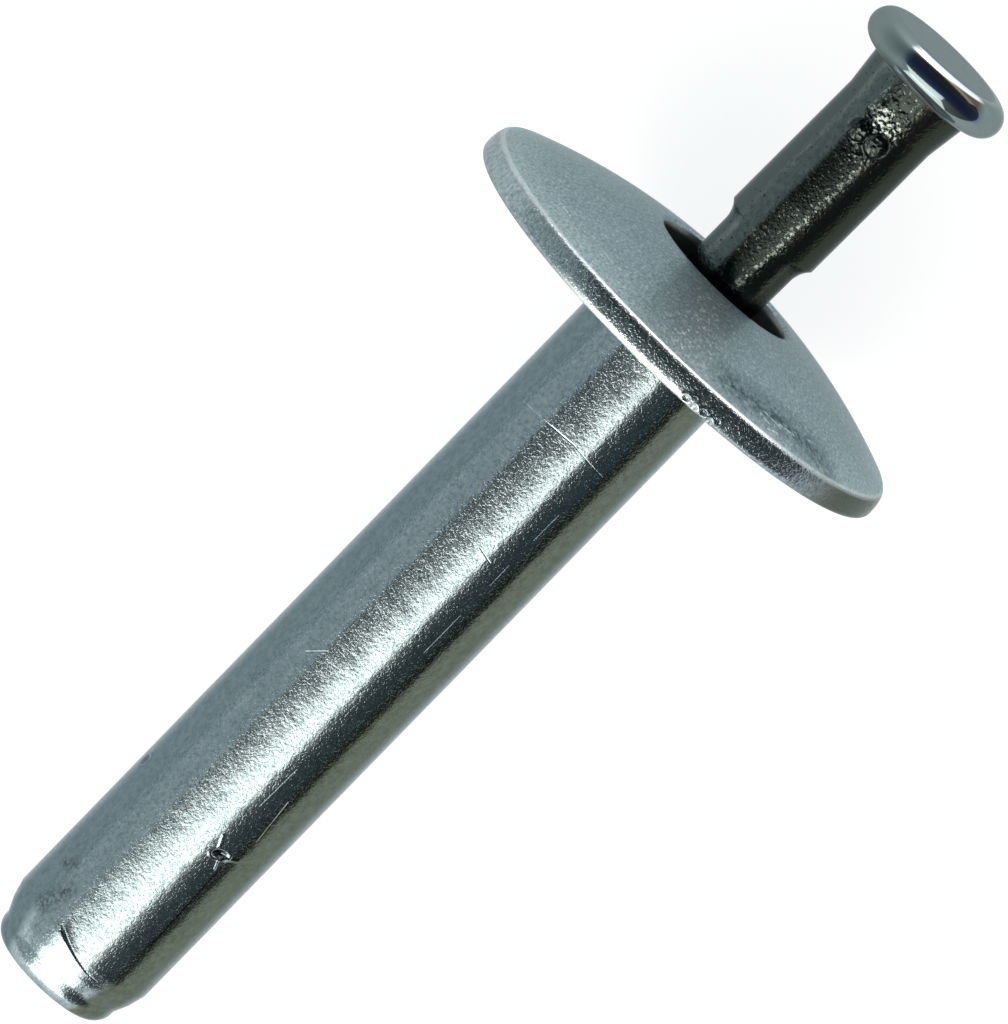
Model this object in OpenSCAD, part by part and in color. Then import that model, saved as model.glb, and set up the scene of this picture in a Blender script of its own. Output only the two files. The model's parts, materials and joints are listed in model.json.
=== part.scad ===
// Hammer drive rivet: a flanged aluminium sleeve with its steel drive pin started in the bore.
// The rivet lies at rest on the rim of its flange and the shoulder of its nose, pin end raised.

/* [Sleeve] */
// Outside diameter of the shank
sleeve_d = 4.8; // [4:0.1:6.4]
// Length of the shank, from the end of the nose to the underside of the flange
sleeve_len = 25.9; // [18:0.1:40]
// Radius of the fillet between shank and flange
root_r = 0.25; // [0.1:0.05:0.5]

/* [Nose] */
// Step in radius from the shank down to the plain end of the nose
nose_inset = 0.33; // [0.2:0.01:0.6]
// Length of the plain end, without its rounded edge
nose_stub_len = 0.08; // [0.05:0.01:0.5]
// Radius of the rounded edge of the end
nose_edge_r = 0.6; // [0.2:0.05:0.7]
// Length of the steeper taper next to the plain end
nose_taper_len = 0.45; // [0.3:0.05:1]
// Step in radius from the shank down to where the two tapers meet
taper_inset = 0.13; // [0.05:0.01:0.19]
// Length of the shallow taper that runs up to the full shank
nose_lead_len = 0.5; // [0.3:0.05:1]

/* [Flange] */
// Diameter of the flange
flange_d = 15; // [13:0.1:20]
// Thickness of the flange at its rim
rim_t = 0.8; // [0.6:0.05:1.3]
// Radius of the lower edge of the rim
rim_edge_r = 0.2; // [0.1:0.02:0.28]
// Height of the widest part of the rim above the underside
rim_wide_h = 0.3; // [0.28:0.02:0.5]
// Radius of the bulge of the rim above its widest part
rim_bulge_r = 1.2; // [0.8:0.1:3]
// Rise of the domed top, from the rim to the mouth of the recess
dome_rise = 1.35; // [0.8:0.05:2]

/* [Recess and bore] */
// Diameter of the recess in the top of the dome
recess_d = 4.7; // [4.2:0.05:5]
// Depth of the recess
recess_depth = 1.3; // [0.6:0.05:2]
// Width of the broken edge round the mouth of the recess
mouth_bevel = 0.08; // [0.03:0.01:0.2]
// Radial clearance between the drive pin and its bore
pin_gap = 0.05; // [0.02:0.01:0.1]
// Diameter of the narrow bore that the pin is driven into
end_bore_d = 1.4; // [1:0.1:1.8]
// Half angle of the cone between the two bores, and of the point of the pin
cone_angle = 30; // [20:1:45]

/* [Drive pin] */
// Diameter of the head
head_d = 4.86; // [4.4:0.02:5.4]
// Thickness of the head, whose edge is fully rounded
head_t = 1.2; // [0.8:0.05:1.6]
// Distance from the mouth of the recess up to the underside of the head
stand_off = 7.7; // [4:0.1:9]
// Diameter of the main shank of the pin
pin_d = 3.05; // [2.8:0.05:3.5]
// How much the radius of the neck grows on its way to the head
neck_flare = 0.165; // [0.05:0.005:0.35]
// Length over which the neck widens towards the head
neck_len = 1.2; // [0.6:0.1:2]
// Diameter of the lower part that runs in the bore
guide_d = 2.47; // [2.2:0.01:2.7]
// Height of the hollow shoulder between the lower part and the main shank
shoulder_h = 0.6; // [0.4:0.05:1]
// Distance from the mouth of the recess up to the start of the shoulder
shoulder_lift = 1.2; // [0.4:0.1:2]
// Diameter of the flat end of the point
point_d = 0.9; // [0.5:0.1:0.9]
// Distance from the end of the nose to the end of the pin
point_depth = 8.2; // [6:0.1:12]

/* [Marks] */
// Radius of the round marks that the gripping dies leave on the pin
grip_r = 0.68; // [0.4:0.02:0.8]
// Height of the gripping marks above the shank
grip_h = 0.13; // [0.05:0.01:0.2]
// Distance from the underside of the head to the middle of the gripping marks
grip_drop = 1.45; // [1:0.05:3]
// How far the crest of the gripping marks lies from their middle, towards the nose
grip_lead = 0.23; // [0:0.01:0.4]
// Distance from the end of the nose to the nicks in the shank
nick_z = 6.4; // [4:0.05:12]
// Radius of the nicks at the surface
nick_r = 0.26; // [0.16:0.02:0.35]
// Radius of the floor of the nicks
nick_floor_r = 0.11; // [0.05:0.01:0.15]
// Depth of the nicks
nick_depth = 0.16; // [0.05:0.01:0.25]
// Distance from the end of the nose to the wide end of the lifted seam
seam_z = 1.88; // [1.2:0.02:4]
// Length of the lifted seam round the nose
seam_len = 1.9; // [0.8:0.1:2.4]
// Distance from the start of the seam to its widest place
seam_open = 0.32; // [0.1:0.02:0.6]
// Widest opening of the seam
seam_w = 0.18; // [0.08:0.01:0.3]
// How far the seam falls towards the nose along its length
seam_fall = 0.55; // [0:0.05:0.8]
// Depth of the seam below the full shank
seam_depth = 0.2; // [0.12:0.01:0.3]

/* [Hidden] */
$fn = 96;
// Overlap of joined sections, and the reach of a cut past the surface it cuts
tiny = 0.01;
past = 0.1;

sleeve_r = sleeve_d / 2;
flange_r = flange_d / 2;
nose_r = sleeve_r - nose_inset;
taper_r = sleeve_r - taper_inset;
head_r = head_d / 2;
head_edge_r = head_t / 2;
pin_r = pin_d / 2;
neck_r = pin_r + neck_flare;
guide_r = guide_d / 2;
recess_r = recess_d / 2;
bore_r = guide_r + pin_gap;

// Heights above the end of the nose, along the axis
stub_z = nose_edge_r + nose_stub_len;
taper_z = stub_z + nose_taper_len;
shank_z = taper_z + nose_lead_len;
crease_z = sleeve_len + rim_t;
mouth_z = crease_z + dome_rise;
recess_z = mouth_z - recess_depth;
point_z = point_depth;
shoulder_z = mouth_z + shoulder_lift;
head_z = mouth_z + stand_off;
top_z = head_z + head_t;
grip_z = head_z - grip_drop;

// The dome is part of a sphere through the mouth of the recess and the upper edge of the rim
dome_edge_r = flange_r - rim_bulge_r + sqrt(pow(rim_bulge_r, 2) - pow(rim_t - rim_wide_h, 2));
dome_c = (pow(recess_r, 2) - pow(dome_edge_r, 2) + pow(mouth_z, 2) - pow(crease_z, 2)) / (2 * dome_rise);
dome_r = norm([recess_r, mouth_z - dome_c]);

// The point of the pin and the cone in the bore that it stands in, a clearance apart
point_len = (guide_r - point_d / 2) / tan(cone_angle);
bore_cone_z = point_z + point_len - pin_gap / sin(cone_angle) + pin_gap / tan(cone_angle);
bore_cone_len = (bore_r - end_bore_d / 2) / tan(cone_angle);

// The hollow of the shoulder is an arc that starts level with the lower part
shoulder_step = pin_r - guide_r;
shoulder_r = (pow(shoulder_h, 2) + pow(shoulder_step, 2)) / (2 * shoulder_step);

// At rest a straight floor touches the shank's front edge and the rounded edge of the rim
rest_dz = sleeve_len + rim_edge_r - shank_z;
rest_dr = flange_r - rim_edge_r - sleeve_r;
rest_tilt = atan2(rest_dr, rest_dz) + asin(rim_edge_r / norm([rest_dz, rest_dr]));
rest_height = sleeve_r * cos(rest_tilt) - shank_z * sin(rest_tilt);
nose_reach = nose_edge_r * (cos(rest_tilt) - 1) - (nose_r - nose_edge_r) * sin(rest_tilt);
head_reach = (top_z - head_edge_r) * cos(rest_tilt) + (head_r - head_edge_r) * sin(rest_tilt) + head_edge_r;
rest_shift = -(nose_reach + head_reach) / 2;

// Where the marks lie round the axis, in degrees from the side that faces up at rest
nick_turn = 27;
side_nick_turn = -70;
seam_turn = 7;
// Turn about the axis from the side that faces up
function from_top(angle) = 180 + angle;

// Lays the rivet down, from standing on its nose to its place at rest
module at_rest() {
    translate([rest_shift, 0, rest_height])
        rotate([0, 90 - rest_tilt, 0])
            children();
}

// Half section of the nose, with its rounded edge and its two tapers
module nose_section() {
    square([nose_r - nose_edge_r, stub_z]);
    translate([nose_r - nose_edge_r, nose_edge_r])
        circle(r = nose_edge_r);
    polygon([
        [0, nose_edge_r],
        [nose_r, nose_edge_r],
        [nose_r, stub_z],
        [taper_r, taper_z],
        [sleeve_r, shank_z],
        [0, shank_z]
    ]);
}

// Half section of the fillet under the flange
module root_section() {
    difference() {
        translate([sleeve_r - tiny, sleeve_len - root_r])
            square([root_r + tiny, root_r + tiny]);
        translate([sleeve_r + root_r, sleeve_len - root_r])
            circle(r = root_r);
    }
}

// Half section of the flange: a flat underside, a rounded and then bulged rim, and a dome
module flange_section() {
    translate([0, sleeve_len]) {
        square([flange_r - rim_edge_r, rim_wide_h]);
        square([flange_r - rim_bulge_r, rim_t]);
        translate([flange_r - rim_edge_r, rim_edge_r])
            circle(r = rim_edge_r);
        translate([0, rim_edge_r])
            square([flange_r, rim_wide_h - rim_edge_r]);
        intersection() {
            translate([0, rim_wide_h - tiny])
                square([flange_r, rim_t - rim_wide_h + tiny]);
            translate([flange_r - rim_bulge_r, rim_wide_h])
                circle(r = rim_bulge_r);
        }
    }
    intersection() {
        translate([0, crease_z - tiny])
            square([dome_edge_r, mouth_z - crease_z + tiny]);
        translate([0, dome_c])
            circle(r = dome_r, $fn = 360);
    }
}

// Half section of the recess, the bore that guides the pin and the narrow bore in the nose
module bore_section() {
    translate([0, recess_z])
        square([recess_r, recess_depth + tiny]);
    translate([0, mouth_z])
        polygon([
            [0, -mouth_bevel],
            [recess_r, -mouth_bevel],
            [recess_r + mouth_bevel, tiny],
            [0, tiny]
        ]);
    polygon([
        [0, -tiny],
        [end_bore_d / 2, -tiny],
        [end_bore_d / 2, bore_cone_z - bore_cone_len],
        [bore_r, bore_cone_z],
        [bore_r, recess_z + tiny],
        [0, recess_z + tiny]
    ]);
}

// A blunt dent in the shank, at the given turn from the top
module nick(angle, z) {
    rotate([0, 0, from_top(angle)])
        translate([sleeve_r - nick_depth, 0, z])
            rotate([0, 90, 0])
                cylinder(r1 = nick_floor_r, r2 = nick_r, h = nick_depth + past);
}

// A seam lifted at the nose: a shallow wedge that opens fast at one end and closes slowly
module lifted_seam(angle) {
    start_y = -seam_len / 2;
    rotate([0, 0, from_top(angle)])
        intersection() {
            rotate_extrude()
                translate([sleeve_r - seam_depth, 0])
                    square([seam_depth + past, seam_z + seam_w]);
            rotate([90, 0, 90])
                linear_extrude(height = sleeve_r + past)
                    polygon([
                        [start_y, seam_z],
                        [start_y + seam_open, seam_z - seam_w / 2],
                        [start_y + seam_len, seam_z - seam_fall],
                        [start_y + seam_open, seam_z + seam_w / 2]
                    ]);
        }
}

// Half section of the drive pin
module pin_section() {
    translate([0, head_z])
        square([head_r - head_edge_r, head_t]);
    translate([head_r - head_edge_r, head_z + head_edge_r])
        circle(r = head_edge_r);
    polygon([
        [0, shoulder_z + shoulder_h],
        [pin_r, shoulder_z + shoulder_h],
        [pin_r, head_z - neck_len],
        [neck_r, head_z + tiny],
        [0, head_z + tiny]
    ]);
    difference() {
        translate([0, shoulder_z])
            square([pin_r, shoulder_h]);
        translate([guide_r + shoulder_r, shoulder_z])
            circle(r = shoulder_r);
    }
    polygon([
        [0, point_z],
        [point_d / 2, point_z],
        [guide_r, point_z + point_len],
        [guide_r, shoulder_z],
        [0, shoulder_z]
    ]);
}

// A round mark raised by the gripping die, with a step towards the nose
module grip_mark(angle) {
    rotate([0, 0, from_top(angle)])
        intersection() {
            translate([0, 0, grip_z - grip_lead])
                sphere(r = pin_r + grip_h);
            translate([0, 0, grip_z])
                rotate([0, 90, 0])
                    cylinder(r = grip_r, h = head_r);
        }
}

module sleeve() {
    color("#9aa5aa")
        at_rest()
            difference() {
                rotate_extrude()
                    difference() {
                        union() {
                            nose_section();
                            translate([0, shank_z])
                                square([sleeve_r, sleeve_len - shank_z + tiny]);
                            root_section();
                            flange_section();
                        }
                        bore_section();
                    }
                nick(nick_turn, nick_z);
                nick(side_nick_turn, nick_z + nick_r);
                lifted_seam(seam_turn);
            }
}

module drive_pin() {
    color("#5f5d5a")
        at_rest() {
            rotate_extrude()
                pin_section();
            grip_mark(0);
            grip_mark(180);
        }
}

sleeve();
drive_pin();
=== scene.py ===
"""A hammer drive rivet lying at rest: an aluminium sleeve with its steel drive pin started in it."""
import json
from math import asin, atan2, cos, degrees, exp, hypot, pi, radians, remainder, sin

import bmesh
import bpy
from mathutils import Matrix, Vector, noise


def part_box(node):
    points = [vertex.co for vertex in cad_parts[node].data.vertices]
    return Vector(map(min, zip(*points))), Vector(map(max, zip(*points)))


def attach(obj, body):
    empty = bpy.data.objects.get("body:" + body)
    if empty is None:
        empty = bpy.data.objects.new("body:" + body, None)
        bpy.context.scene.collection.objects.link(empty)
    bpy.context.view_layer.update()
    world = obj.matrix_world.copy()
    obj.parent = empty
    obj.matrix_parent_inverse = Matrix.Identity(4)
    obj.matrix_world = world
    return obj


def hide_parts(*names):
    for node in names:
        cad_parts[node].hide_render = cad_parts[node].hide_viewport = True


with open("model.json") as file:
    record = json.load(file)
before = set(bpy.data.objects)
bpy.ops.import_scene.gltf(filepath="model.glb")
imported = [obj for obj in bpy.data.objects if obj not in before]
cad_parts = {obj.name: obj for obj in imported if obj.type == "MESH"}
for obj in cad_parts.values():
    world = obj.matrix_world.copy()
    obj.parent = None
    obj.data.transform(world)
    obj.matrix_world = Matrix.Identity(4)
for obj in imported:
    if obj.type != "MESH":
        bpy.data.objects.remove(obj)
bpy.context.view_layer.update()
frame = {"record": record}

# The place of the rivet
# The rivet lies on the rim of its flange and the shoulder of its nose. Each piece is drawn on a
# bench in millimetres, standing on its nose with the side that faces up at rest towards +X, and
# is then laid down along the shank that the record measures.
shank = frame["record"]["mounts"][0]
shank_r = shank["dims"]["r_mm"]
shank_len = shank["dims"]["length_mm"]
nose_len = 1.63
MM = 0.001

along = -Vector(shank["axis"]).normalized()
sideways = Vector((0, -1, 0))
upwards = sideways.cross(along)
nose_end = Vector(shank["pos_m"]) - along * (nose_len + shank_len / 2) * MM
turned = Matrix((upwards, sideways, along)).transposed()
laid_down = Matrix.Translation(nose_end) @ turned.to_4x4() @ Matrix.Scale(MM, 4)


def straight(bm, pen, r, z, steps=1):
    """Draws a straight line of a turning profile from pen in equal steps, and returns its end."""
    begin = pen.co.copy()
    for step in range(1, steps + 1):
        pen = bmesh.ops.extrude_vert_indiv(bm, verts=[pen])["verts"][0]
        pen.co = begin.lerp(Vector((r, 0, z)), step / steps)
    return pen


def arc(bm, pen, centre_r, centre_z, angle, steps):
    """Draws an arc of a turning profile from pen about a centre, through an angle in degrees."""
    swept = bmesh.ops.spin(bm, geom=[pen], cent=(centre_r, 0, centre_z), axis=(0, 1, 0),
                           angle=radians(angle), steps=steps)
    return swept["geom_last"][0]


def turn_on_lathe(bm, steps):
    """Spins the drawn profile into a closed round body with its faces outwards."""
    bmesh.ops.spin(bm, geom=bm.verts[:] + bm.edges[:], cent=(0, 0, 0), axis=(0, 0, 1),
                   angle=2 * pi, steps=steps, use_merge=True)
    bmesh.ops.remove_doubles(bm, verts=bm.verts[:], dist=1e-5)
    bmesh.ops.recalc_face_normals(bm, faces=bm.faces[:])


def finish_piece(bm, name, slot, *materials):
    """Lays a body down in the row frame as a smooth piece that rides on the root body."""
    bm.transform(laid_down)
    mesh = bpy.data.meshes.new(name)
    bm.to_mesh(mesh)
    bm.free()
    for polygon in mesh.polygons:
        polygon.use_smooth = True
    for material in materials:
        mesh.materials.append(material)
    piece = bpy.data.objects.new(name, mesh)
    bpy.context.scene.collection.objects.link(piece)
    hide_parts(slot)
    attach(piece, "root")


# Sleeve
# One piece of aluminium, cold formed from wire: a plain shank with a tapered nose, and a flange
# with a domed top. A recess in the dome leads to the bore that the pin slides in.
root_r = 0.25
sleeve_len = nose_len + shank_len + root_r
nose_r = shank_r - 0.33
taper_r = shank_r - 0.13
nose_edge_r = 0.6
stub_z = 0.68
taper_z = 1.13
end_bore_r = 0.7
bore_r = 1.285
bore_z = 9.546
bore_cone_len = 1.013

flange_r = (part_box("sleeve")[1][1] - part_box("sleeve")[0][1]) / 2 / MM
rim_edge_r = 0.2
rim_wide_h = 0.3
rim_bulge_r = 1.2
rim_t = 0.8
dome_rise = 1.35
recess_r = 2.35
recess_depth = 1.3
mouth_round = 0.1
crease_round = 0.1
sleeve_steps = 180

crease_z = sleeve_len + rim_t
mouth_z = crease_z + dome_rise
recess_z = mouth_z - recess_depth
bulge_angle = asin((rim_t - rim_wide_h) / rim_bulge_r)
crease_r = flange_r - rim_bulge_r + rim_bulge_r * cos(bulge_angle)
dome_c = (recess_r**2 - crease_r**2 + mouth_z**2 - crease_z**2) / (2 * dome_rise)
dome_r = hypot(recess_r, mouth_z - dome_c)
mouth_r = recess_r + mouth_round
dome_start = asin(crease_r / dome_r)
dome_end = asin(mouth_r / dome_r)

bm = bmesh.new()
pen = bm.verts.new((end_bore_r, 0, 0))
pen = straight(bm, pen, nose_r - nose_edge_r, 0, steps=5)
pen = arc(bm, pen, nose_r - nose_edge_r, nose_edge_r, -90, 12)
pen = straight(bm, pen, nose_r, stub_z)
pen = straight(bm, pen, taper_r, taper_z, steps=4)
pen = straight(bm, pen, shank_r, nose_len, steps=4)
pen = straight(bm, pen, shank_r, sleeve_len - root_r, steps=160)
pen = arc(bm, pen, shank_r + root_r, sleeve_len - root_r, 90, 6)
pen = straight(bm, pen, flange_r - rim_edge_r, sleeve_len, steps=24)
pen = arc(bm, pen, flange_r - rim_edge_r, sleeve_len + rim_edge_r, -90, 12)
pen = straight(bm, pen, flange_r, sleeve_len + rim_wide_h, steps=2)
pen = arc(bm, pen, flange_r - rim_bulge_r, sleeve_len + rim_wide_h, -degrees(bulge_angle), 4)
pen = arc(bm, pen, 0, dome_c, -degrees(dome_start - dome_end), 30)
pen = straight(bm, pen, recess_r, mouth_z - mouth_round)
pen = straight(bm, pen, recess_r, recess_z, steps=6)
pen = straight(bm, pen, bore_r, recess_z, steps=3)
pen = straight(bm, pen, bore_r, bore_z, steps=8)
pen = straight(bm, pen, end_bore_r, bore_z - bore_cone_len)
straight(bm, pen, end_bore_r, 0, steps=6)
turn_on_lathe(bm, sleeve_steps)
crease = [edge for edge in bm.edges if all(
    hypot(hypot(*end.co.xy) - crease_r, end.co.z - crease_z) < 0.001 for end in edge.verts)]
bmesh.ops.bevel(bm, geom=crease, offset=crease_round, affect="EDGES", segments=6, profile=0.5,
                material=-1)


def divided(bm, turn, half_turn, low, high, inner_r, cuts, steps):
    """Divides the faces in a patch of the turned surface, and returns the patch's vertices."""
    def inside(vertex):
        away = abs(remainder(atan2(vertex.co.y, vertex.co.x) - radians(turn), 2 * pi))
        outside = hypot(*vertex.co.xy) > inner_r
        return outside and away < radians(half_turn) and low < vertex.co.z < high
    edges = [edge for edge in bm.edges if inside(edge.verts[0]) and inside(edge.verts[1])]
    bmesh.ops.subdivide_edges(bm, edges=edges, cuts=cuts, use_grid_fill=True)
    patch = [vertex for vertex in bm.verts if inside(vertex)]
    half_step = pi / steps
    for vertex in patch:
        off_middle = remainder(atan2(vertex.co.y, vertex.co.x) - half_step, 2 * half_step)
        vertex.co.xy *= cos(off_middle) / cos(half_step)
    return patch


def press(patch, turn, z, shape):
    """Moves the vertices of a patch outwards by shape(across, up), both measured from a place on it."""
    for vertex in patch:
        r = hypot(*vertex.co.xy)
        across = remainder(atan2(vertex.co.y, vertex.co.x) - radians(turn), 2 * pi) * r
        vertex.co.xy *= 1 + shape(across, vertex.co.z - z) / r


def bell(x):
    """1 in the middle, falling smoothly to nothing."""
    return exp(-x * x)


def ridge(x, y, x0, y0, x1, y1, wide):
    """1 along a line from one point to another, falling smoothly to nothing beside it."""
    dx, dy = x1 - x0, y1 - y0
    at = min(1, max(0, ((x - x0) * dx + (y - y0) * dy) / (dx * dx + dy * dy)))
    return bell(hypot(x - x0 - at * dx, y - y0 - at * dy) / wide)


def shank_nick(across, up):
    """A struck dent with a torn lip, and three burrs that run out of it."""
    skewed = up - 0.25 * across
    hole = bell(hypot(across / 0.2, skewed / 0.12) ** 2)
    torn = max(0, sin(5 * across - 9 * up + 0.6))
    lip = bell((hypot(across / 0.27, skewed / 0.17) - 1.1) / 0.2) * torn
    burrs = (ridge(across, up, -0.36, 0.5, -0.2, 0.16, 0.03)
             + ridge(across, up, 0.24, 0.0, 0.62, 0.16, 0.03)
             + ridge(across, up, 0.06, -0.14, 0.2, -0.42, 0.025))
    return 0.026 * lip + 0.025 * burrs * (1 - hole) - 0.16 * hole


def side_nick(across, up):
    """A shallow dent in the far side of the shank, longer than it is wide."""
    lip = bell((hypot(across / 0.18, up / 0.25) - 1.2) / 0.2)
    hole = bell(hypot(across / 0.16, up / 0.22) ** 2)
    return 0.02 * lip - 0.1 * hole


def lifted_seam(across, up):
    """A lap left by forming: it opens fast, closes slowly, and its upper lip stands up."""
    seam_len = 1.93
    at = across / seam_len
    if not 0 < at < 1:
        return 0
    opening = min(at / 0.08, ((1 - at) / 0.92) ** 1.4)
    below_lip = 0.07 - 0.57 * sin(at * pi / 2) - up
    wide = 0.015 + 0.1 * opening
    if below_lip < 0:
        return 0.025 * opening * exp(below_lip / 0.15)
    return -0.16 * opening**0.5 * max(0, 1 - below_lip / wide) ** 0.8


def rim_nicks(across, up):
    """A row of small struck rings on the lower edge of the rim, each a dent with a raised crest."""
    struck_rings = ((-0.62, 0.04, 0.13), (-0.3, -0.02, 0.15), (-0.42, 0.2, 0.08), (0.02, 0.06, 0.12),
                    (0.3, -0.04, 0.14), (0.5, 0.12, 0.1), (0.16, 0.2, 0.07))
    moved = 0
    for x, y, size in struck_rings:
        q = hypot(across - x, up - y) / size
        moved += 0.045 * bell((q - 1) / 0.4) - 0.07 * bell(q / 0.6)
    return moved


shank_nick_turn, side_nick_turn, rim_nick_turn = 28, -70, 16.5
seam_turn = -17.1
patch = divided(bm, shank_nick_turn, 20, 5.6, 7.4, 2.3, 3, sleeve_steps)
press(patch, shank_nick_turn, 6.5, shank_nick)
patch = divided(bm, side_nick_turn, 10, 6.1, 7.3, 2.3, 3, sleeve_steps)
press(patch, side_nick_turn, 6.7, side_nick)
patch = divided(bm, 6, 26, 1.1, 2.25, 2.2, 5, sleeve_steps)
press(patch, seam_turn, 1.88, lifted_seam)
patch = divided(bm, rim_nick_turn, 9, sleeve_len - 0.01, sleeve_len + 0.5, 7.2, 6, sleeve_steps)
press(patch, rim_nick_turn, sleeve_len + 0.13, rim_nicks)
for vertex in bm.verts:
    r = hypot(*vertex.co.xy)
    outside_bore = r > 1.8
    if outside_bore and vertex.co.z > stub_z:
        uneven = noise.noise(vertex.co * 0.5) + 0.5 * noise.noise(vertex.co * 1.7)
        vertex.co.xy *= 1 - 0.0015 * (1 + uneven) / r

# The bores and end faces keep the first finish
SHANK, RIM, DOME = 1, 2, 3
for face in bm.faces:
    middle = face.calc_center_median()
    r = hypot(*middle.xy)
    if 0.05 < middle.z < sleeve_len - 0.02 and r > 1.6:
        face.material_index = SHANK
    elif middle.z < crease_z - 0.01 and r > flange_r - rim_edge_r:
        face.material_index = RIM
    elif r > recess_r + 0.01 and middle.z > crease_z - 0.02:
        face.material_index = DOME


def add(tree, kind, settings=None, inputs=None):
    """Adds a shader node, with its settings and its inputs given as values or as sockets to link."""
    node = tree.nodes.new("ShaderNode" + kind)
    for key, value in (settings or {}).items():
        setattr(node, key, value)
    for key, value in (inputs or {}).items():
        if isinstance(value, bpy.types.NodeSocket):
            tree.links.new(value, node.inputs[key])
        else:
            node.inputs[key].default_value = value
    return node


def new_finish(name):
    """A material with its node tree and bench coordinates in millimetres."""
    material = bpy.data.materials.new(name)
    material.use_nodes = True
    tree = material.node_tree
    place = add(tree, "TexCoord").outputs["Object"]
    bench = add(tree, "Mapping", {"vector_type": "TEXTURE"}, {
        "Vector": place, "Location": nose_end, "Rotation": turned.to_euler(), "Scale": (MM, MM, MM)})
    return material, tree, bench.outputs[0]


def metal(tree, tint, normal, roughness, haze=0.3, share=0.3):
    """Ends a material as a metal that mirrors softly, with a share of haze from its worn skin."""
    mirror = tree.nodes["Principled BSDF"]
    worn = add(tree, "BsdfPrincipled")
    for shader, rough in ((mirror, roughness), (worn, haze)):
        shader.inputs["Metallic"].default_value = 1
        shader.inputs["Roughness"].default_value = rough
        shader.inputs["Specular Tint"].default_value = (0.6, 0.64, 0.65, 1)
        tree.links.new(tint, shader.inputs["Base Color"])
        tree.links.new(normal, shader.inputs["Normal"])
    both = add(tree, "MixShader", None, {0: share, 1: mirror.outputs[0], 2: worn.outputs[0]})
    tree.links.new(both.outputs[0], tree.nodes["Material Output"].inputs["Surface"])


def calc(tree, how, first, second=0.0, third=0.0):
    """One step of arithmetic on values or sockets."""
    return add(tree, "Math", {"operation": how}, {0: first, 1: second, 2: third}).outputs[0]


def noise_of(tree, place, scale, detail=2, roughness=0.5):
    """The value of a noise pattern, with its scale per millimetre."""
    return add(tree, "TexNoise", None, {
        "Vector": place, "Scale": scale, "Detail": detail, "Roughness": roughness}).outputs["Fac"]


def stretched(tree, place, *factors):
    """Bench coordinates scaled by a factor on each axis."""
    return add(tree, "VectorMath", {"operation": "MULTIPLY"}, {0: place, 1: factors}).outputs[0]


def ranged(tree, value, low, high, to_low, to_high, smooth=False):
    """Maps a value from one range to another, and holds it at the ends."""
    how = "SMOOTHSTEP" if smooth else "LINEAR"
    node = add(tree, "MapRange", {"interpolation_type": how}, {
        "Value": value, "From Min": low, "From Max": high, "To Min": to_low, "To Max": to_high})
    return node.outputs[0]


def pits_of(tree, place, scale, share, reach):
    """0 in the middle of scattered round pits and 1 between them, in a share of the pattern's cells."""
    cells = add(tree, "TexVoronoi", None, {"Vector": place, "Scale": scale})
    wall = ranged(tree, cells.outputs["Distance"], 0.2 * reach, reach, 0, 1, smooth=True)
    chance = add(tree, "SeparateColor", None, {"Color": cells.outputs["Color"]}).outputs[0]
    return calc(tree, "MAXIMUM", wall, calc(tree, "GREATER_THAN", chance, share))


def bumped(tree, height, depth, under=None):
    """A bump of the given depth in millimetres over the whole range of height, on top of another."""
    inputs = {"Height": height, "Distance": depth * MM}
    if under is not None:
        inputs["Normal"] = under
    return add(tree, "Bump", None, inputs).outputs[0]


def blended(tree, factor, first, second):
    """A colour between two others."""
    return add(tree, "Mix", {"data_type": "RGBA"}, {6: first, 7: second, 0: factor}).outputs[2]


def part_of(tree, bench, axis):
    """One of the bench coordinates: 0 towards the top, 1 to the side, 2 along the body."""
    return add(tree, "SeparateXYZ", None, {0: bench}).outputs[axis]


def turn_of(tree, bench):
    """The angle round the body from its top, in radians."""
    return calc(tree, "ARCTAN2", part_of(tree, bench, 1), part_of(tree, bench, 0))


def radius_of(tree, bench):
    """The distance from the axis of the body."""
    x, y = part_of(tree, bench, 0), part_of(tree, bench, 1)
    return calc(tree, "SQRT", calc(tree, "MULTIPLY_ADD", x, x, calc(tree, "MULTIPLY", y, y)))


def unrolled(tree, bench, r):
    """The surface of a round body laid flat: distance round it from its top, and along it."""
    round_it = calc(tree, "MULTIPLY", turn_of(tree, bench), r)
    return add(tree, "CombineXYZ", None, {0: round_it, 1: part_of(tree, bench, 2), 2: 0}).outputs[0]


def rings_of(tree, bench, slant, scale):
    """Fine rings round the axis, as a die or a cutting tool leaves them."""
    drift = calc(tree, "MULTIPLY", turn_of(tree, bench), slant)
    place = add(tree, "CombineXYZ", None, {0: radius_of(tree, bench), 1: drift}).outputs[0]
    return noise_of(tree, place, scale, 2)


def facing_side(tree, turn, middle, full, gone, rest=0):
    """1 on the side of a round body round a middle angle, falling to the rest beside it."""
    away = calc(tree, "ABSOLUTE", calc(tree, "SUBTRACT", turn, middle))
    return ranged(tree, away, full, gone, 1, rest)


def scratch(tree, flat, x0, y0, x1, y1, half_wide):
    """1 along a line on an unrolled surface and 0 beside it."""
    start, run = Vector((x0, y0, 0)), Vector((x1 - x0, y1 - y0, 0))
    away = add(tree, "VectorMath", {"operation": "SUBTRACT"}, {0: flat, 1: start}).outputs[0]
    unit = run / run.length_squared
    dot = add(tree, "VectorMath", {"operation": "DOT_PRODUCT"}, {0: away, 1: unit}).outputs["Value"]
    at = add(tree, "Clamp", None, {0: dot}).outputs[0]
    foot = add(tree, "VectorMath", {"operation": "SCALE"}, {0: run, "Scale": at}).outputs[0]
    gap = add(tree, "VectorMath", {"operation": "DISTANCE"}, {0: away, 1: foot}).outputs["Value"]
    return ranged(tree, gap, 0, half_wide, 1, 0)


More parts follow.
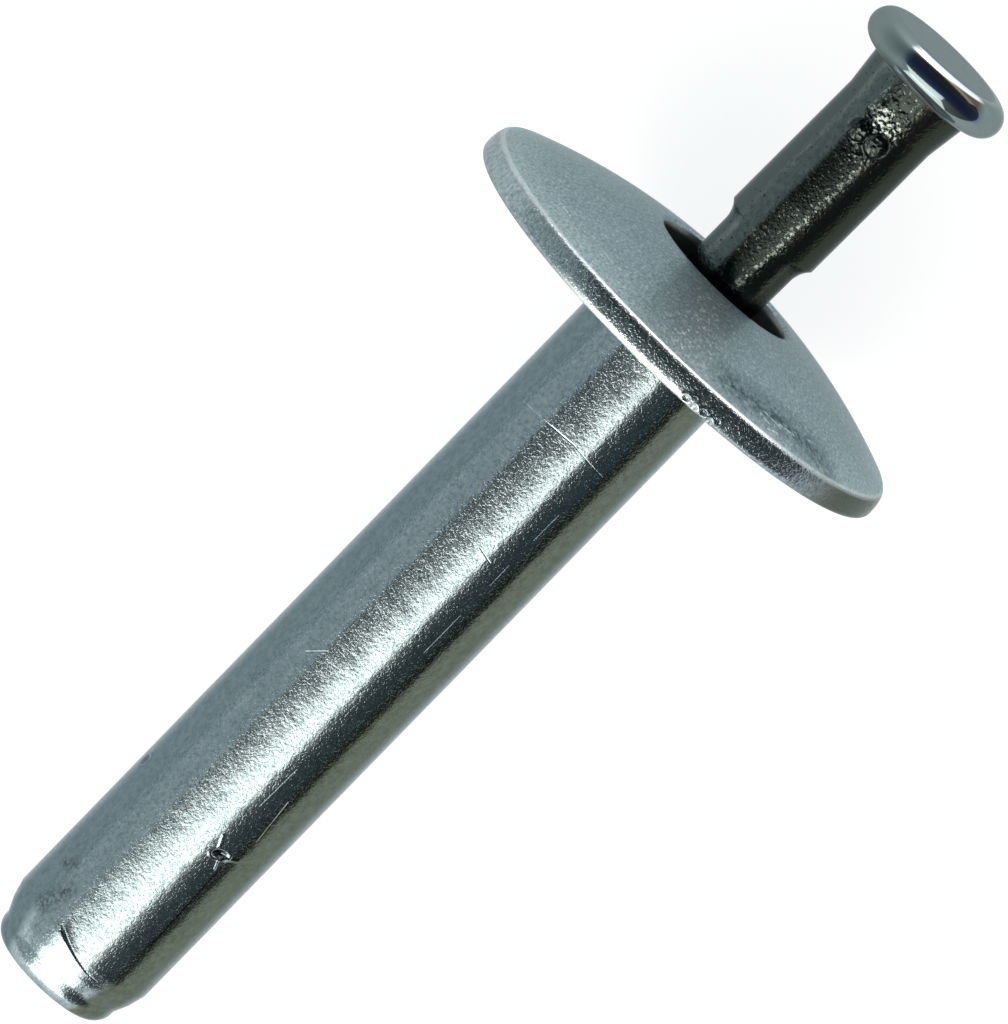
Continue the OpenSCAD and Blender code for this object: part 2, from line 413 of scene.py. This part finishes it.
def scratched(tree, flat, lines):
    """1 along any of several lines on an unrolled surface."""
    marks = scratch(tree, flat, *lines[0])
    for line in lines[1:]:
        marks = calc(tree, "MAXIMUM", marks, scratch(tree, flat, *line))
    return marks


def flecked(tree, tint, bench, scale, dark, light, much):
    """Fine dark and light flecks over a colour, like those of a worn plated skin."""
    speckle = noise_of(tree, bench, scale, 2, 0.7)
    tint = blended(tree, ranged(tree, speckle, 0.32, 0.5, much, 0), tint, dark)
    return blended(tree, ranged(tree, speckle, 0.55, 0.72, 0, much), tint, light)


def painted_shade_band(tree, turn, start, full, fading, gone):
    """Where shade is painted: 1 on a band along a round body between two angles from its top, 0 on both
    sides of the band.
    """
    near = ranged(tree, turn, start, full, 0, 1, smooth=True)
    return calc(tree, "MULTIPLY", near, ranged(tree, turn, fading, gone, 1, 0, smooth=True))


# Shank: drawn smooth, then finely pitted by the dies, with handling scratches
shank_skin, tree, bench = new_finish("formed_aluminium")
flat, turn = unrolled(tree, bench, shank_r), turn_of(tree, bench)
grain = noise_of(tree, bench, 9.5, 2, 0.6)
chips = ranged(tree, noise_of(tree, bench, 14, 1), 0.34, 0.46, 0, 1, smooth=True)
lines = noise_of(tree, stretched(tree, bench, 1, 1, 0.04), 16, 2)
normal = bumped(tree, grain, 0.0045)
normal = bumped(tree, chips, 0.0022, normal)
normal = bumped(tree, lines, 0.0006, normal)
normal = bumped(tree, noise_of(tree, bench, 1.2, 2), 0.013, normal)
handling = ((-2.5, 21.7, -0.6, 21.95, 0.022), (-0.6, 21.95, 0.2, 22.02, 0.035),
            (0.2, 22.02, 1.5, 21.85, 0.022), (0.35, 18.05, 0.85, 17.92, 0.03),
            (1.33, 14.7, 1.34, 16.2, 0.012), (1.35, 17.4, 1.33, 18.2, 0.01),
            (1.34, 19.2, 1.35, 20.2, 0.012), (1.0, 8.3, 1.03, 9.8, 0.016),
            (1.57, 8.9, 1.76, 7.4, 0.018), (-1.2, 12.4, -0.7, 12.9, 0.012),
            (-1.7, 19.1, -1.1, 18.8, 0.012))
normal = bumped(tree, scratched(tree, flat, handling), -0.01, normal)
cloud = noise_of(tree, bench, 1.6, 4, 0.6)
cloud = ranged(tree, cloud, 0.3, 0.7, 0, 1)
tint = blended(tree, cloud, (0.29, 0.363, 0.392, 1), (0.37, 0.44, 0.467, 1))
tint = flecked(tree, tint, bench, 8, (0.13, 0.17, 0.19, 1), (0.5, 0.57, 0.58, 1), 0.5)
# Painted shade: mottled darker bands along both sides of the shank, blue-grey on the left and olive on
# the right
mottle = ranged(tree, noise_of(tree, bench, 5, 3, 0.7), 0.35, 0.65, 0, 1)
blue_grey_shade = blended(tree, mottle, (0.1, 0.15, 0.168, 1), (0.145, 0.2, 0.22, 1))
left_shade_band = painted_shade_band(tree, calc(tree, "MULTIPLY", turn, -1), 0.63, 0.83, 1.1, 1.5)
tint = blended(tree, left_shade_band, tint, blue_grey_shade)
# Painted shade: the darker olive band along the right side of the shank
olive_shade = blended(tree, mottle, (0.092, 0.112, 0.085, 1), (0.128, 0.154, 0.122, 1))
tint = blended(tree, painted_shade_band(tree, turn, 0.57, 0.71, 1.1, 1.5), tint, olive_shade)
smudge = scratched(tree, flat, ((-2.1, 3.1, -1.8, 3.3, 0.3), (-1.6, 1.9, -1.3, 2.7, 0.4)))
smudge = calc(tree, "MULTIPLY", smudge, ranged(tree, grain, 0.4, 0.6, 0, 0.7))
# Painted shade in the hole of the struck nick, with a thin dark line running from it towards the nose
nick_shade_and_dark_line = scratched(tree, flat, ((1.1, 6.52, 1.28, 6.48, 0.16), (1.5, 6.2, 1.63, 3.2, 0.05)))
tint = blended(tree, calc(tree, "MAXIMUM", smudge, nick_shade_and_dark_line), tint, (0.03, 0.035, 0.035, 1))
rubbed = ranged(tree, part_of(tree, bench, 2), 3, 14, 0.42, 0.27, smooth=True)
metal(tree, tint, normal, 0.13, 0.29, rubbed)

# Rim: upset by the heading die, coarser than the shank
rim_skin, tree, bench = new_finish("upset_rim")
turn, height = turn_of(tree, bench), part_of(tree, bench, 2)
grain = noise_of(tree, bench, 8, 2, 0.6)
chips = ranged(tree, noise_of(tree, bench, 12, 1), 0.36, 0.5, 0, 1, smooth=True)
normal = bumped(tree, chips, 0.006, bumped(tree, grain, 0.01))
tint = blended(tree, noise_of(tree, bench, 2, 2), (0.26, 0.325, 0.35, 1), (0.33, 0.395, 0.42, 1))
tint = flecked(tree, tint, bench, 7, (0.12, 0.18, 0.215, 1), (0.55, 0.62, 0.63, 1), 0.6)
# Painted shade: a dark olive band round the right end of the rim
tint = blended(tree, painted_shade_band(tree, turn, 0.69, 1.09, 1.45, 1.7), tint, (0.085, 0.1, 0.082, 1))
# Painted highlight: a near-white line along the upper edge of the rim on its front, where it meets the
# dome
painted_highlight_side = facing_side(tree, turn, 0.12, 0.3, 0.6, 0.25)
upper_edge = ranged(tree, height, crease_z - 0.1, crease_z - 0.04, 0, 1)
tint = blended(tree, calc(tree, "MULTIPLY", upper_edge, painted_highlight_side), tint, (0.9, 0.93, 0.94, 1))
# Painted highlight: a pale band along the rounded lower edge of the rim on its front
lower_edge = ranged(tree, height, sleeve_len + 0.2, sleeve_len + 0.27, 0.85, 0)
front = facing_side(tree, turn, -0.1, 0.24, 0.42)
tint = blended(tree, calc(tree, "MULTIPLY", lower_edge, front), tint, (0.85, 0.9, 0.9, 1))
metal(tree, tint, normal, 0.15, 0.4, 0.4)

# Dome: satin, with faint rings from the die and fine handling scratches
dome_skin, tree, bench = new_finish("satin_dome")
turn, radius = turn_of(tree, bench), radius_of(tree, bench)
rings = rings_of(tree, bench, 0.15, 5)
hair = noise_of(tree, stretched(tree, bench, 0.5, 6, 0.5), 4, 2, 0.6)
grain = noise_of(tree, bench, 11, 2, 0.6)
near_mouth = ranged(tree, radius, 2.5, 3.6, 1, 0)
normal = bumped(tree, grain, 0.007)
normal = bumped(tree, hair, 0.004, normal)
normal = bumped(tree, calc(tree, "MULTIPLY", rings, near_mouth), 0.01, normal)
tint = blended(tree, noise_of(tree, bench, 1.1, 3), (0.205, 0.285, 0.315, 1), (0.275, 0.36, 0.385, 1))
# Painted highlight: the dome lighter towards its outer edge
tint = blended(tree, ranged(tree, radius, 6, 7.3, 0, 0.6), tint, (0.38, 0.47, 0.5, 1))
tint = flecked(tree, tint, bench, 11, (0.1, 0.145, 0.165, 1), (0.6, 0.7, 0.72, 1), 0.6)
from_above = stretched(tree, bench, 1, 1, 0)
# Painted glints: pale sparkles over the front of the dome
sparkle = ranged(tree, noise_of(tree, bench, 7, 3, 0.75), 0.54, 0.64, 0.15, 1)
front_painted_glints = calc(tree, "MULTIPLY", scratch(tree, from_above, 3, 0.1, 6.6, 0.4, 1.4), sparkle)
tint = blended(tree, front_painted_glints, tint, (0.85, 0.93, 0.95, 1))
# Painted reflection: a patchy dark band across the side of the dome towards -Y
patchy = ranged(tree, noise_of(tree, bench, 4, 4, 0.75), 0.4, 0.6, 1, 0.35)
dark_painted_reflection = calc(tree, "MULTIPLY", scratch(tree, from_above, 6.2, 2.2, 4.1, 5.5, 1.0), patchy)
tint = blended(tree, dark_painted_reflection, tint, (0.045, 0.07, 0.09, 1))
broken = ranged(tree, grain, 0.35, 0.6, 0.1, 0.8)
for line in ((5.85, 3.3, 5.75, 3.75, 0.05), (5.6, 3.35, 5.35, 4.0, 0.04), (5.3, 3.9, 4.9, 4.4, 0.05),
             (6.0, 3.75, 5.6, 4.1, 0.04), (4.3, 4.75, 3.95, 5.0, 0.04), (4.2, -5.0, 4.9, -4.3, 0.03),
             (5.6, -3.0, 5.9, -2.4, 0.03)):
    mark = calc(tree, "MULTIPLY", scratch(tree, from_above, *line), broken)
    tint = blended(tree, mark, tint, (0.7, 0.77, 0.8, 1))
# Painted highlight: a near-white line round the outer edge of the dome by the crease, on its front
painted_highlight_side = facing_side(tree, turn, 0.12, 0.3, 0.6, 0.25)
outer_edge = ranged(tree, radius, crease_r - 0.12, crease_r - 0.07, 0, 1)
tint = blended(tree, calc(tree, "MULTIPLY", outer_edge, painted_highlight_side), tint, (0.9, 0.93, 0.94, 1))
metal(tree, tint, normal, 0.3, 0.6, 0.45)

# Recess, bores and the faces across the ends: left as the tools cut them
bore_skin, tree, bench = new_finish("cut_aluminium")
normal = bumped(tree, rings_of(tree, bench, 0.1, 12), 0.006)
normal = bumped(tree, noise_of(tree, bench, 8, 2), 0.006, normal)
tint = blended(tree, noise_of(tree, bench, 3, 3), (0.14, 0.155, 0.155, 1), (0.21, 0.225, 0.225, 1))
metal(tree, tint, normal, 0.3, 0.45, 0.5)
finish_piece(bm, "sleeve_body", "sleeve", bore_skin, shank_skin, rim_skin, dome_skin)

# Drive pin
# A headed steel pin, cut and headed from wire. The gripping dies leave round marks under the
# head, and the thinner lower part slides in the sleeve's bore. It leans a little in that bore.
head_r = 2.43
head_t = 1.192
stand_off = 7.7
pin_r = 1.525
neck_r = 1.69
neck_len = 1.2
guide_r = 1.235
shoulder_h = 0.6
shoulder_lift = 1.2
point_r = 0.45
point_z = 8.2
point_len = 1.36
under_head = 0.08
throat_len, throat_growth = 1.4, 0.2
fuller_len, fuller_growth = 3, 0.09
lean_from, lean_slope = 24, 0.0145
grip_drop = 1.8
pin_steps = 120

head_z = mouth_z + stand_off
shoulder_z = mouth_z + shoulder_lift
shoulder_step = pin_r - guide_r
shoulder_r = (shoulder_h**2 + shoulder_step**2) / (2 * shoulder_step)
shoulder_degrees = degrees(asin(shoulder_h / shoulder_r))
head_edge_r = (head_t - under_head) / 2

bm = bmesh.new()
pen = bm.verts.new((0, 0, point_z))
pen = straight(bm, pen, point_r, point_z)
pen = straight(bm, pen, guide_r, point_z + point_len)
pen = straight(bm, pen, guide_r, shoulder_z - 1, steps=50)
pen = straight(bm, pen, guide_r, shoulder_z, steps=10)
pen = arc(bm, pen, guide_r + shoulder_r, shoulder_z, shoulder_degrees, 8)
pen = straight(bm, pen, pin_r, head_z - neck_len, steps=50)
pen = straight(bm, pen, neck_r, head_z + under_head, steps=14)
pen = straight(bm, pen, head_r - head_edge_r, head_z + under_head, steps=1)
pen = arc(bm, pen, head_r - head_edge_r, head_z + under_head + head_edge_r, -172, 24)
straight(bm, pen, 0, head_z + head_t, steps=12)
turn_on_lathe(bm, pin_steps)


def grip_marks(across, up):
    """Two round marks side by side, raised by the dies, with a rough patch round and above them."""
    knob_r, knob_h = 0.38, 0.13
    tall = 0
    for x, y in ((-0.42, 0), (0.31, -0.02)):
        q = hypot(across - x, up - y) / knob_r
        if q < 1:
            tall = max(tall, knob_h * (1 - q * q) ** 0.5)
    coarse = noise.noise(Vector((across * 5, up * 5, 0.3)))
    fine = noise.noise(Vector((across * 11, up * 11, 1.7)))
    in_patch = bell(hypot(across + 0.05, (up - 0.5) / 1.3) / 0.7)
    return tall + 0.04 * (coarse + 0.6 * fine) * in_patch


for vertex in bm.verts:
    r = hypot(*vertex.co.xy)
    z = vertex.co.z
    if recess_z < z < head_z - neck_len and r > guide_r - 0.01:
        on_top = max(0, vertex.co.x / r) ** 0.8
        fuller = min(1, (z - recess_z) / throat_len) * throat_growth
        fuller += min(1, max(0, (z - recess_z - throat_len) / fuller_len)) * fuller_growth
        vertex.co.xy *= 1 + on_top * (guide_r + fuller - r) / r
patch = divided(bm, 0, 45, head_z - 2.7, head_z - 0.02, 1.4, 4, pin_steps)
press(patch, 0, head_z - grip_drop, grip_marks)
for vertex in bm.verts:
    if vertex.co.z > lean_from:
        vertex.co.y += lean_slope * (vertex.co.z - lean_from)
    if vertex.co.z > shoulder_z:
        vertex.co.xy *= 1 - 0.003 * (1 + noise.noise(vertex.co * 0.9))

POLISH = 1
for face in bm.faces:
    if face.calc_center_median().z > head_z + 0.1:
        face.material_index = POLISH

pin_skin, tree, bench = new_finish("drawn_steel")
flat, turn = unrolled(tree, bench, pin_r), turn_of(tree, bench)
grain = noise_of(tree, bench, 9, 3, 0.65)
pits = pits_of(tree, bench, 6, 0.4, 0.3)
lines = noise_of(tree, stretched(tree, bench, 1, 1, 0.12), 8, 2)
normal = bumped(tree, grain, 0.012)
normal = bumped(tree, lines, 0.002, normal)
normal = bumped(tree, pits, 0.006, normal)
cloud = noise_of(tree, bench, 5, 4, 0.7)
patchy = ranged(tree, cloud, 0.35, 0.65, 0, 1)
tint = blended(tree, patchy, (0.085, 0.11, 0.105, 1), (0.14, 0.17, 0.165, 1))
# Painted shade: the pin darker along its far left
far_left = ranged(tree, turn, -0.85, -0.65, 1, 0, smooth=True)
tint = blended(tree, far_left, tint, (0.06, 0.08, 0.078, 1))
# Painted shade: the pin darkened from its front round to its right side
front = ranged(tree, calc(tree, "MULTIPLY_ADD", cloud, 0.2, turn), -0.23, -0.1, 0, 1, smooth=True)
tint = blended(tree, front, tint, (0.027, 0.033, 0.031, 1))
# Painted shade: a brownish-grey band on the right of the pin, and darker olive further right
right = ranged(tree, turn, 0.36, 0.46, 0, 1, smooth=True)
tint = blended(tree, right, tint, (0.08, 0.086, 0.078, 1))
far_right = ranged(tree, turn, 0.66, 0.84, 0, 1, smooth=True)
tint = blended(tree, far_right, tint, (0.03, 0.035, 0.027, 1))
# Painted glints: pale specks along a line up the front of the pin and in a patch above the grip marks
ridge_highlight_line = scratch(tree, flat, 0.4, 28, 0.6, 33.6, 0.18)
grip_glint = scratch(tree, flat, 0.0, 34.55, 0.55, 34.45, 0.55)
painted_glint_lines = calc(tree, "MAXIMUM", ridge_highlight_line, calc(tree, "MULTIPLY", grip_glint, 1.7))
speckle = noise_of(tree, stretched(tree, bench, 1, 1, 1.4), 8, 2, 0.6)
glints = ranged(tree, calc(tree, "MULTIPLY_ADD", painted_glint_lines, 0.17, speckle), 0.6, 0.72, 0, 1)
lit = calc(tree, "MULTIPLY", ranged(tree, turn, 0.4, 0.55, 1, 0), front)
tint = blended(tree, calc(tree, "MULTIPLY", glints, lit), tint, (0.24, 0.27, 0.255, 1))
# Painted shade: the grip marks darkened, with a few lighter flecks
knob_shade = scratch(tree, flat, -0.25, 33.9, 0.46, 33.9, 0.48)
knob_shade = ranged(tree, knob_shade, 0.1, 0.3, 0, 0.85, smooth=True)
patchy = ranged(tree, cloud, 0.45, 0.65, 0, 1)
knob_shade_tint = blended(tree, patchy, (0.03, 0.036, 0.034, 1), (0.13, 0.15, 0.14, 1))
tint = blended(tree, knob_shade, tint, knob_shade_tint)
tint = blended(tree, pits, (0.02, 0.024, 0.022, 1), tint)
metal(tree, tint, normal, 0.14)

head_skin, tree, bench = new_finish("polished_steel")
turn, radius, height = turn_of(tree, bench), radius_of(tree, bench), part_of(tree, bench, 2)
cloud = noise_of(tree, bench, 2, 3, 0.6)
normal = bumped(tree, noise_of(tree, bench, 12, 2), 0.0005)
tint = blended(tree, cloud, (0.17, 0.215, 0.22, 1), (0.21, 0.26, 0.262, 1))
# Painted reflection: a blue sheen on the front of the head's top, near its edge
front = facing_side(tree, turn, 0.28, 0.5, 0.66)
inner = ranged(tree, radius, 1.5, 1.9, 0, 0.7)
inner = calc(tree, "MULTIPLY", inner, ranged(tree, radius, 1.97, 2.02, 1, 0))
tint = blended(tree, calc(tree, "MULTIPLY", inner, front), tint, (0.14, 0.21, 0.3, 1))
# Painted reflection: brown above and navy below on the front of the head's rounded edge
upper = ranged(tree, height, head_z + 0.88, head_z + 0.95, 0, 0.8)
lower = calc(tree, "SUBTRACT", ranged(tree, height, head_z + 0.58, head_z + 0.64, 0, 0.8), upper)
outer = calc(tree, "MULTIPLY", ranged(tree, radius, 2.24, 2.28, 0, 1), front)
tint = blended(tree, calc(tree, "MULTIPLY", upper, outer), tint, (0.07, 0.04, 0.022, 1))
tint = blended(tree, calc(tree, "MULTIPLY", lower, outer), tint, (0.06, 0.1, 0.28, 1))
# Painted highlight: a near-white ring on the front of the head's rounded edge
painted_highlight_ring = ranged(tree, radius, 2.0, 2.04, 0, 1)
painted_highlight_ring = calc(tree, "MULTIPLY", painted_highlight_ring, ranged(tree, radius, 2.22, 2.26, 1, 0))
tint = blended(tree, calc(tree, "MULTIPLY", painted_highlight_ring, front), tint, (0.9, 0.93, 0.95, 1))
dulled = ranged(tree, part_of(tree, bench, 1), -0.85, -0.55, 0.97, 0.28)
dulled = calc(tree, "MAXIMUM", dulled, ranged(tree, radius, 1.88, 1.98, 0.97, 0.28))
metal(tree, tint, normal, 0.07, 0.5, dulled)
finish_piece(bm, "pin_body", "drive_pin", pin_skin, head_skin)

# Floor
# A wide sheet of white card, so close to white that only the rivet's soft shadow shows on it.
bm = bmesh.new()
bmesh.ops.create_grid(bm, x_segments=1, y_segments=1, size=3)
mesh = bpy.data.meshes.new("floor")
bm.to_mesh(mesh)
bm.free()
floor = bpy.data.objects.new("floor", mesh)
bpy.context.scene.collection.objects.link(floor)
card = bpy.data.materials.new("white_card")
card.use_nodes = True
nodes, links = card.node_tree.nodes, card.node_tree.links
surface = nodes["Principled BSDF"]
surface.inputs["Base Color"].default_value = (0.35, 0.35, 0.35, 1)
surface.inputs["Roughness"].default_value = 0.9
surface.inputs["Specular IOR Level"].default_value = 0.1
surface.inputs["Emission Color"].default_value = (1, 1, 1, 1)
sight = nodes.new("ShaderNodeLightPath")
seen = nodes.new("ShaderNodeMath")
seen.operation = "MAXIMUM"
links.new(sight.outputs["Is Camera Ray"], seen.inputs[0])
links.new(sight.outputs["Is Glossy Ray"], seen.inputs[1])
also_seen = nodes.new("ShaderNodeMath")
also_seen.operation = "MAXIMUM"
links.new(seen.outputs[0], also_seen.inputs[0])
links.new(sight.outputs["Is Transmission Ray"], also_seen.inputs[1])
glow = nodes.new("ShaderNodeMath")
glow.operation = "MULTIPLY"
glow.inputs[1].default_value = 0.76
links.new(also_seen.outputs[0], glow.inputs[0])
links.new(glow.outputs[0], surface.inputs["Emission Strength"])
mesh.materials.append(card)

# Light
# A pale room with three warm softboxes: one hung above, one low beyond the nose and one low
# beyond the head. Two dark cards, above and at the side, show only in the metal.
world = bpy.data.worlds.new("room")
world.use_nodes = True
world.node_tree.nodes["Background"].inputs["Color"].default_value = (0.51, 0.577, 0.597, 1)
bpy.context.scene.world = world

black = bpy.data.materials.new("black_card")
black.use_nodes = True
black_surface = black.node_tree.nodes["Principled BSDF"]
black_surface.inputs["Base Color"].default_value = (0.05, 0.07, 0.074, 1)
black_surface.inputs["Roughness"].default_value = 1


def stand(obj, bearing, elevation, distance):
    """Stands obj at a distance from the rivet, facing it. Bearing 0 is over +X, 90 over +Y."""
    b, e = radians(bearing), radians(elevation)
    away = Vector((cos(b) * cos(e), sin(b) * cos(e), sin(e)))
    facing = away.to_track_quat("Z", "Y").to_matrix().to_4x4()
    obj.matrix_world = Matrix.Translation(away * distance) @ facing


def softbox(name, radiance, colour, wide, high):
    """A rectangular lamp with an even face of the given radiance."""
    lamp = bpy.data.lights.new(name, "AREA")
    lamp.shape = "RECTANGLE"
    lamp.size, lamp.size_y = wide, high
    lamp.energy = radiance * pi * wide * high
    lamp.color = colour
    obj = bpy.data.objects.new(name, lamp)
    bpy.context.scene.collection.objects.link(obj)
    obj.visible_camera = False
    return obj


def dark_card(name, wide, high):
    """A black card that shows only in the polish of the metal, and takes no light from the floor."""
    bm = bmesh.new()
    bmesh.ops.create_grid(bm, x_segments=1, y_segments=1, size=0.5)
    bmesh.ops.scale(bm, vec=(wide, high, 1), verts=bm.verts)
    mesh = bpy.data.meshes.new(name)
    bm.to_mesh(mesh)
    bm.free()
    mesh.materials.append(black)
    obj = bpy.data.objects.new(name, mesh)
    bpy.context.scene.collection.objects.link(obj)
    obj.visible_camera = obj.visible_diffuse = obj.visible_shadow = False
    return obj


# The hung softbox and the dark card beside it share the edge that ends the bright strip on the metal
hung_plane = Matrix.Rotation(radians(12), 4, "Z")
hung_edge, hung_high = -0.113, 0.257
hung_right, hung_left = -0.1476, 0.228
hung_wide = 0.27
hung = softbox("hung_softbox", 3.2, (1, 0.95, 0.85), hung_wide, hung_left - hung_right)
hung_middle = (hung_edge - hung_wide / 2, (hung_left + hung_right) / 2, hung_high)
hung.matrix_world = hung_plane @ Matrix.Translation(hung_middle)
card_wide, card_long = 0.95, 1.4
top_card = dark_card("top_card", card_wide, card_long)
card_middle = (hung_edge + card_wide / 2, hung_left - card_long / 2, hung_high)
top_card.matrix_world = hung_plane @ Matrix.Translation(card_middle)
stand(dark_card("side_card", 4, 1.109), 270, 29, 1.0)
stand(softbox("nose_softbox", 3.3, (1, 0.96, 0.91), 1.0, 0.62), 184, 18, 0.95)
stand(softbox("head_softbox", 2.8, (1, 0.98, 0.95), 1.8, 0.34), 0, 8.5, 1.0)

# Camera
# It looks almost straight down, so the rivet shows standing up along the picture's diagonal.
lean = radians(-1.28)
roll = radians(45.74)
distance = 0.6
camera_data = bpy.data.cameras.new("camera")
camera_data.sensor_width = 36
camera_data.lens = 749
camera_data.clip_end = 20
camera = bpy.data.objects.new("camera", camera_data)
bpy.context.scene.collection.objects.link(camera)
outwards = Vector((sin(lean), 0, cos(lean)))
level = Vector((cos(lean), 0, -sin(lean)))
across = Vector((0, 1, 0))
right = level * cos(roll) - across * sin(roll)
top = level * sin(roll) + across * cos(roll)
aim = nose_end + along * 18.82 * MM + sideways * 0.113 * MM
turned_camera = Matrix((right, top, outwards)).transposed().to_4x4()
camera.matrix_world = Matrix.Translation(aim + outwards * distance) @ turned_camera
bpy.context.scene.camera = camera
bpy.context.scene.view_settings.view_transform = "Standard"
